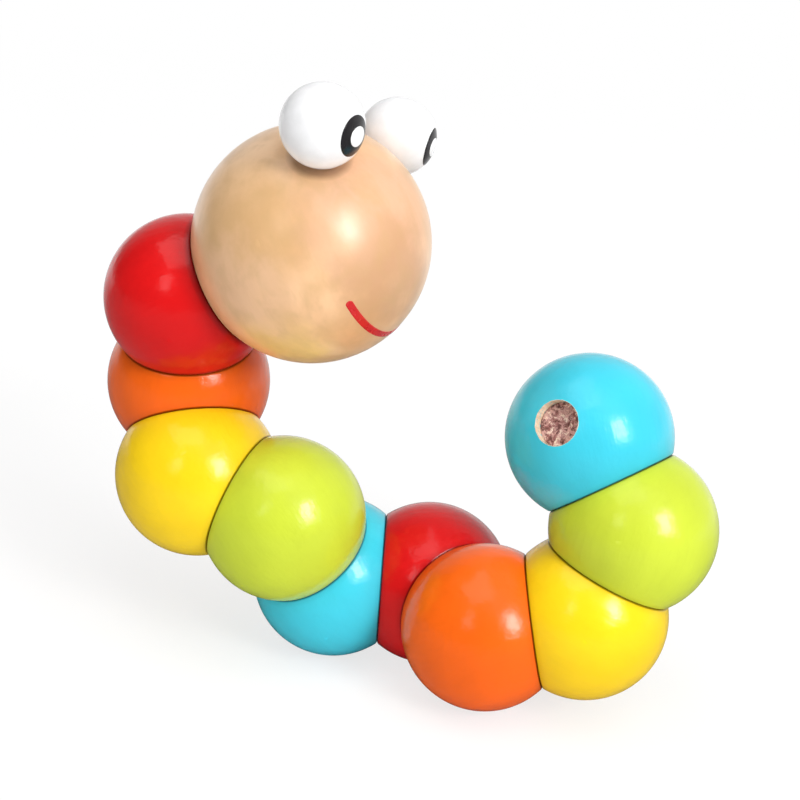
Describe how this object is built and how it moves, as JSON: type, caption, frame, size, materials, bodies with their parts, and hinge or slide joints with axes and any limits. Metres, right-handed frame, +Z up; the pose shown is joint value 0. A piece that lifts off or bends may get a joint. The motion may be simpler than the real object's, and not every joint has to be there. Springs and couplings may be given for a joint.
{
  "type": "bendy wooden worm toy",
  "caption": "Wooden twisting worm toy: large natural head with goggle eyes and a chain of painted balls with sawn flats on an elastic strand.",
  "frame": {"origin": "on the table, below the middle of the box round the whole toy as it lies", "axes": "+Z up, -Y towards the side that the face and the plugged tail hole are seen from, +X towards the tail"},
  "size_m": [0.1122, 0.0584, 0.1103],
  "materials": {
    "paint_red": "red gloss paint on turned hardwood",
    "paint_orange": "orange gloss paint on turned hardwood",
    "paint_yellow": "yellow gloss paint on turned hardwood",
    "paint_green": "lime green gloss paint on turned hardwood",
    "paint_blue": "sky blue gloss paint on turned hardwood",
    "paint_white": "white gloss paint on turned hardwood, with a painted pupil",
    "lacquered_wood": "clear gloss lacquer on pale hardwood",
    "bare_wood": "bare hardwood dowel, sawn end grain",
    "elastic": "round braided elastic, off-white"
  },
  "bodies": {
    "head_unit": {"elastic_head": "elastic", "eye_dowel_left": "bare_wood", "eye_dowel_right": "bare_wood", "eye_left": "paint_white", "eye_right": "paint_white", "head": "lacquered_wood", "head_knot": "elastic", "neck_bush": "bare_wood"},
    "segment_01": {"ball_01_red": "paint_red", "elastic_01": "elastic"},
    "segment_02": {"ball_02_orange": "paint_orange", "elastic_02": "elastic"},
    "segment_03": {"ball_03_yellow": "paint_yellow", "elastic_03": "elastic"},
    "segment_04": {"ball_04_green": "paint_green", "elastic_04": "elastic"},
    "segment_05": {"ball_05_blue": "paint_blue", "elastic_05": "elastic"},
    "segment_06": {"ball_06_red": "paint_red", "elastic_06": "elastic"},
    "segment_07": {"ball_07_orange": "paint_orange", "elastic_07": "elastic"},
    "segment_08": {"ball_08_yellow": "paint_yellow", "elastic_08": "elastic"},
    "segment_09": {"ball_09_green": "paint_green", "elastic_09": "elastic"},
    "segment_10": {"ball_10_blue": "paint_blue", "elastic_10": "elastic", "tail_knot": "elastic", "tail_plug": "bare_wood"}
  },
  "joints": [
    {"name": "neck_twist", "type": "hinge", "parent": "segment_01", "child": "head_unit", "pos_m": [-0.03355, 0.00694, 0.07008], "axis": [0.8406, -0.1776, 0.5117], "continuous": true},
    {"name": "twist_01_02", "type": "hinge", "parent": "segment_02", "child": "segment_01", "pos_m": [-0.04104, 0.01027, 0.05664], "axis": [-0.0076, -0.1928, 0.9812], "continuous": true},
    {"name": "twist_02_03", "type": "hinge", "parent": "segment_03", "child": "segment_02", "pos_m": [-0.03925, 0.00643, 0.04096], "axis": [-0.1913, 0.6192, 0.7615], "continuous": true},
    {"name": "twist_03_04", "type": "hinge", "parent": "segment_04", "child": "segment_03", "pos_m": [-0.02933, -0.0019, 0.03163], "axis": [-0.9113, 0.3065, 0.2751], "continuous": true},
    {"name": "twist_04_05", "type": "hinge", "parent": "segment_05", "child": "segment_04", "pos_m": [-0.01636, -0.0018, 0.02208], "axis": [-0.5299, -0.3177, 0.7863], "continuous": true},
    {"name": "twist_05_06", "type": "hinge", "parent": "segment_06", "child": "segment_05", "pos_m": [-0.00259, 0.00106, 0.015], "axis": [-1, 0, 0], "continuous": true},
    {"name": "twist_06_07", "type": "hinge", "parent": "segment_06", "child": "segment_07", "pos_m": [0.01144, -0.0064, 0.015], "axis": [0.5592, -0.829, 0], "continuous": true},
    {"name": "twist_07_08", "type": "hinge", "parent": "segment_07", "child": "segment_08", "pos_m": [0.02524, -0.01402, 0.01706], "axis": [0.9734, -0.018, 0.2285], "continuous": true},
    {"name": "twist_08_09", "type": "hinge", "parent": "segment_08", "child": "segment_09", "pos_m": [0.03755, -0.01262, 0.02723], "axis": [0.3953, 0.1732, 0.9021], "continuous": true},
    {"name": "twist_09_10", "type": "hinge", "parent": "segment_09", "child": "segment_10", "pos_m": [0.03672, -0.00738, 0.04229], "axis": [-0.4876, 0.41, 0.7708], "continuous": true}
  ]
}
